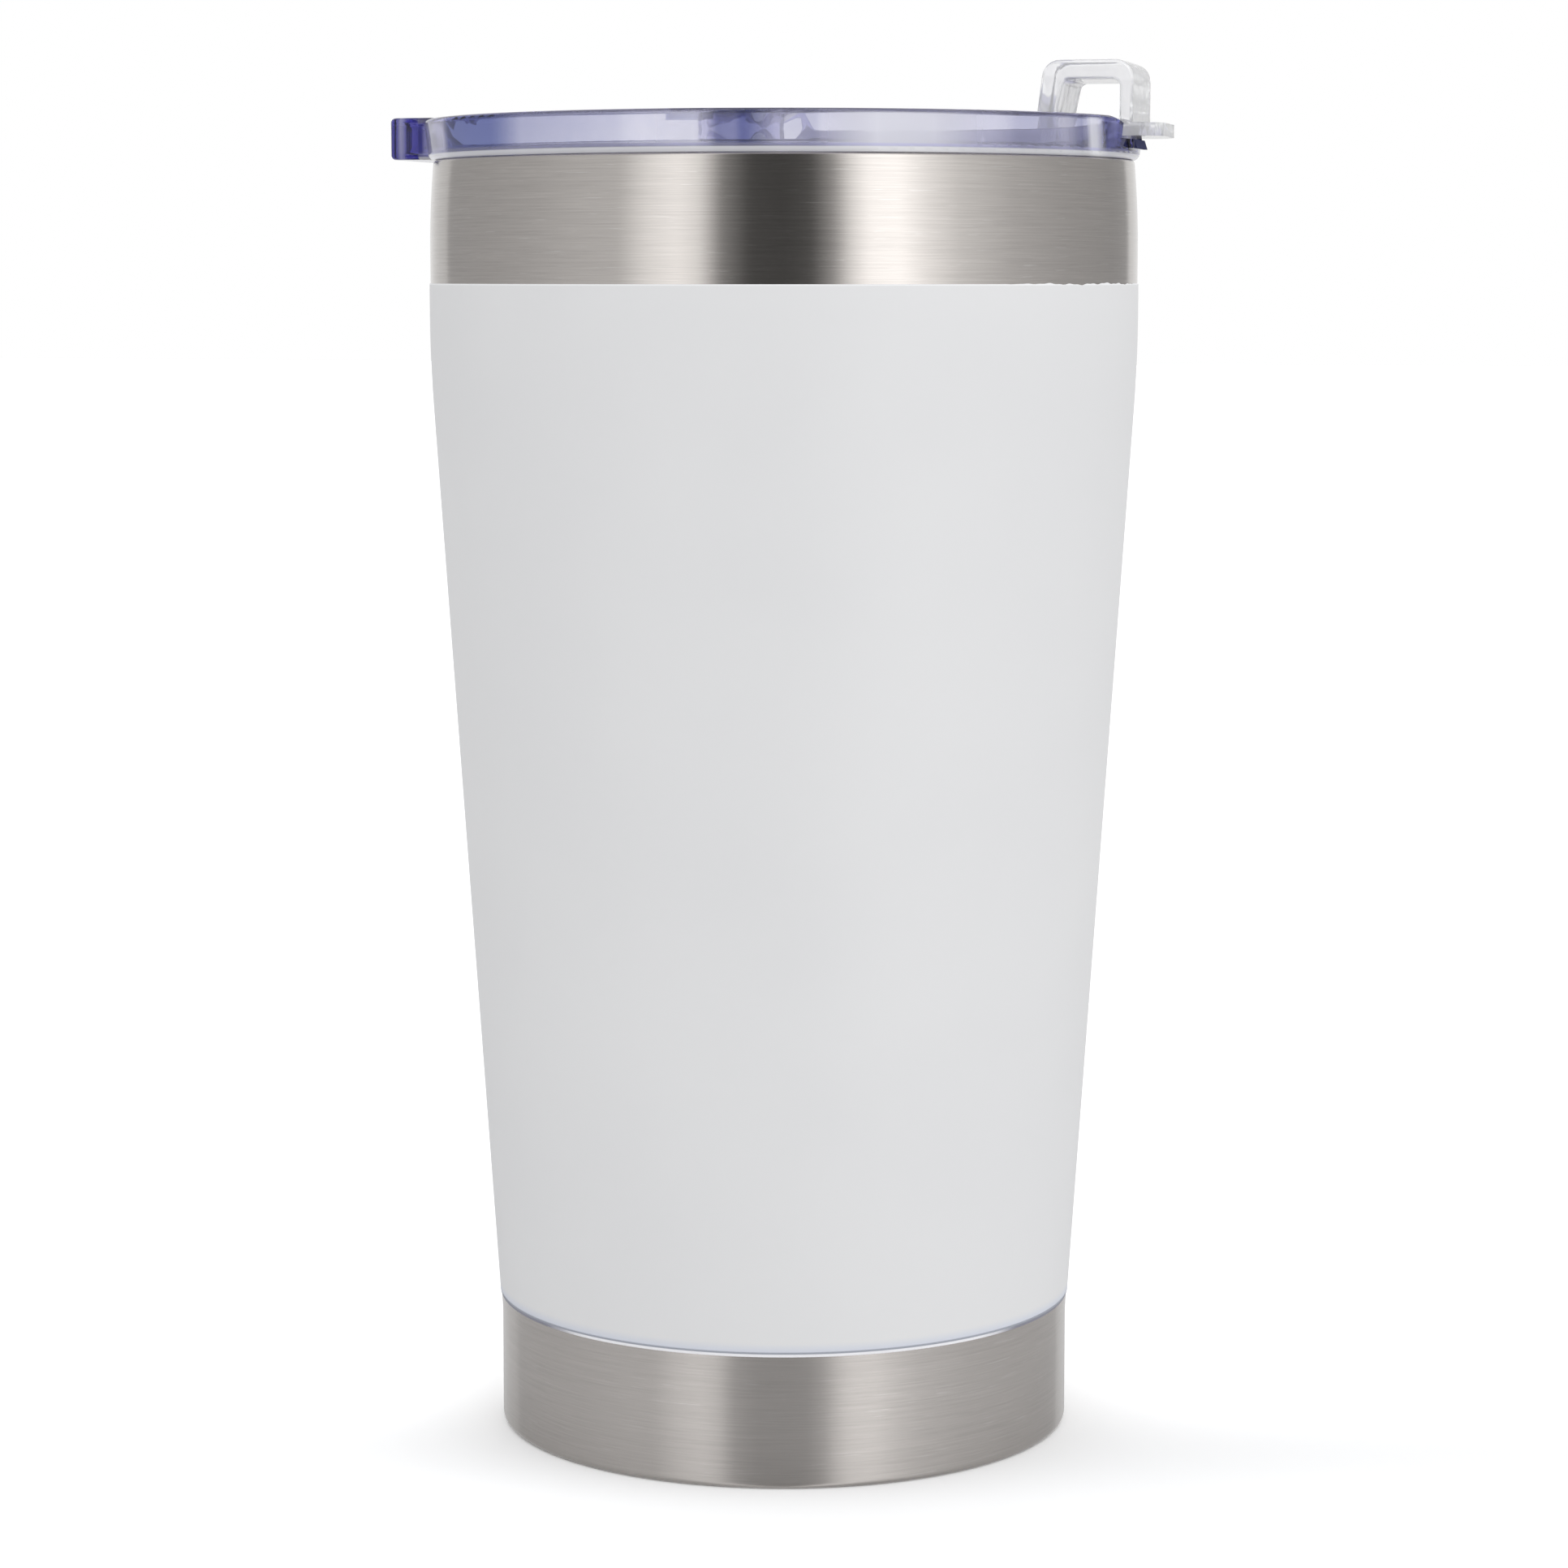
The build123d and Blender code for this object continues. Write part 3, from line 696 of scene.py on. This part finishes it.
# ---------------------------------------------------------------- CAD nodes that keep their own mesh
own_finish = {
    "radiation_shield": foil(),
    "shell_bottom": base_steel,
    "port_seal": solder_glass(),
    "getter_pill": sintered_powder(),
    "getter_clip": spun_steel("nickel strip", (0.66, 0.62, 0.55)),
}
for node, finish in own_finish.items():
    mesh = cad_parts[node].data
    mesh.materials.clear()
    mesh.materials.append(finish)

# ---------------------------------------------------------------- camera
camera_turn = math.radians(14)
camera_tilt = math.radians(7.035)
camera_distance = 521.7 * mm
camera_height = 145.6 * mm
camera_data = bpy.data.cameras.new("camera")
camera_data.sensor_width = 36
camera_data.lens = 95.29
camera_data.clip_start = 0.01
camera_data.clip_end = 50
camera = bpy.data.objects.new("camera", camera_data)
camera_east = camera_distance * math.sin(camera_turn)
camera_north = -camera_distance * math.cos(camera_turn)
camera.location = (camera_east, camera_north, camera_height)
camera.rotation_euler = (math.pi / 2 - camera_tilt, 0, camera_turn)
bpy.context.scene.collection.objects.link(camera)
bpy.context.scene.camera = camera

# ---------------------------------------------------------------- room
# How bright the room is to metal: bearings in degrees to the camera's right, with 0 at the camera itself, and
# levels, of which 1 is white.
room_levels = [
    (-180, 0.86), (-164, 0.80), (-150, 0.66), (-141, 0.62), (-138, 0.40), (-110, 0.44), (-89, 0.50),
    (-68, 0.60), (-54, 0.64), (-44, 1.05), (-34, 1.26), (-27, 1.04), (-20, 0.28), (-11, 0.075), (0, 0.065),
    (9, 0.095), (16, 0.38), (21, 1.00), (27, 1.50), (37, 1.58), (46, 1.18), (58, 0.82), (79, 0.56),
    (101, 0.44), (132, 0.36), (147, 0.38), (150, 0.72), (160, 0.78), (180, 0.88),
]


def room():
    """A white room, a little brighter on the right. Metal sees it as a studio has it: dark behind the
    camera, a tall soft box on either side of that, grey side walls, and white again behind the object."""
    brightest = 2.0
    look = Finish(bpy.context.scene.world)
    way = look.node("TexCoord", output="Generated")
    way = look.node("Mapping", inputs={"Vector": way, "Rotation": (0, 0, -camera_turn)})
    across = look.node("SeparateXYZ", inputs={"Vector": way}, output="X")
    ahead = look.node("SeparateXYZ", inputs={"Vector": way}, output="Y")
    bearing = look.math("ARCTAN2", across, 0 - ahead)
    stops = [(0.5 + degrees / 360, level / brightest) for degrees, level in room_levels]
    seen = look.node("ValToRGB", {"stops": stops}, {"Fac": 0.5 + bearing / (2 * math.pi)})
    side_level = look.between(across, -1.0, 1.0, 0.88, 1.12)
    metal_room = look.node("Background", inputs={"Color": seen, "Strength": brightest})
    soft_room = look.node("Background", inputs={"Color": rgb(0.985, 0.99, 1.0), "Strength": side_level})
    white_room = look.node("Background", inputs={"Color": rgb(1, 1, 1), "Strength": 1.0})
    through_plastic = look.math("GREATER_THAN", look.ray("Transmission Depth"), 0.5)
    seen_white = look.math("MAXIMUM", through_plastic, look.ray("Is Camera Ray"))
    light = look.blend(look.ray("Is Glossy Ray"), soft_room, metal_room)
    light = look.blend(seen_white, light, white_room)
    look.node("OutputWorld", inputs={"Surface": light})


def floor_finish():
    """White table: plain and matt, brighter to the eye than to the object. To the eye it has painted light on
    the left and behind the cup, and painted shade just in front of it, lighter again well in front, which
    moves the cup's shadow to the front. It is out of the metal's sight away from the cup."""
    left_and_right = (-60 * mm, 60 * mm)
    front_and_back = (-20 * mm, 14 * mm)
    open_front = (-44 * mm, -22 * mm)
    fading = (140 * mm, 260 * mm)
    look = material("white table")
    right = look.axis("X", turn=-camera_turn)
    back = look.axis("Y", turn=-camera_turn)
    through_plastic = look.math("MINIMUM", look.ray("Transmission Depth"), 1.0)
    seen = look.math("MAXIMUM", look.ray("Is Camera Ray"), through_plastic)
    mirrored = look.ray("Is Glossy Ray") * (1 - seen)
    tone = look.mix(mirrored, rgb(0.77, 0.77, 0.77), rgb(0.57, 0.57, 0.57))
    # Painted light: the table is brighter to the eye on the left than on the right, to even out the cup's
    # shadow.
    seen_tone = look.mix(look.between(right, *left_and_right), rgb(1.20, 1.20, 1.20), rgb(1.05, 1.05, 1.05))
    # Painted light behind the cup and painted shade just in front of it, lighter again well in front.
    lift = look.between(back, *front_and_back, 0.95, 1.16) * look.between(back, *open_front, 1.07, 1.0)
    seen_tone = look.node("VectorMath", {"operation": "SCALE"}, {0: seen_tone, "Scale": lift})
    tone = look.mix(seen, tone, seen_tone)
    matt = {"Base Color": tone, "Roughness": 1.0, "Specular IOR Level": 0.0}
    table = look.node("BsdfPrincipled", inputs=matt)
    away = look.node("VectorMath", {"operation": "LENGTH"}, {0: look.place()}, output="Value")
    gone = look.between(away, *fading, 0.36, 1.0) * mirrored
    return look.surface(look.blend(gone, table, look.node("BsdfTransparent")))


def floor(half=6.0):
    """A flat square with its middle under the cup."""
    mesh = bpy.data.meshes.new("table")
    corners = np.array([(-1, -1, 0), (1, -1, 0), (1, 1, 0), (-1, 1, 0)]) * half
    mesh.from_pydata(corners, [], [(0, 1, 2, 3)])
    mesh.materials.append(floor_finish())
    made = bpy.data.objects.new("table", mesh)
    bpy.context.scene.collection.objects.link(made)


def lamp(name, bearing, rise, distance, size, watts):
    """A square soft box that looks at the cup. Its bearing is in degrees to the camera's right."""
    data = bpy.data.lights.new(name, "AREA")
    data.shape = "SQUARE"
    data.size = size
    data.energy = watts
    made = bpy.data.objects.new(name, data)
    turn = camera_turn + math.radians(bearing)
    up = math.radians(rise)
    way = Vector((math.sin(turn) * math.cos(up), -math.cos(turn) * math.cos(up), math.sin(up)))
    made.location = way * distance + Vector((0, 0, lip_z / 2))
    made.rotation_euler = way.to_track_quat("Z", "Y").to_euler()
    made.visible_glossy = False
    made.visible_camera = False
    made.visible_transmission = False
    bpy.context.scene.collection.objects.link(made)


bpy.context.scene.world = bpy.data.worlds.new("room")
room()
floor()
lamp("key", bearing=38, rise=40, distance=1.2, size=1.2, watts=1.2)
bpy.context.scene.view_settings.view_transform = "Standard"
bpy.context.view_layer.update()
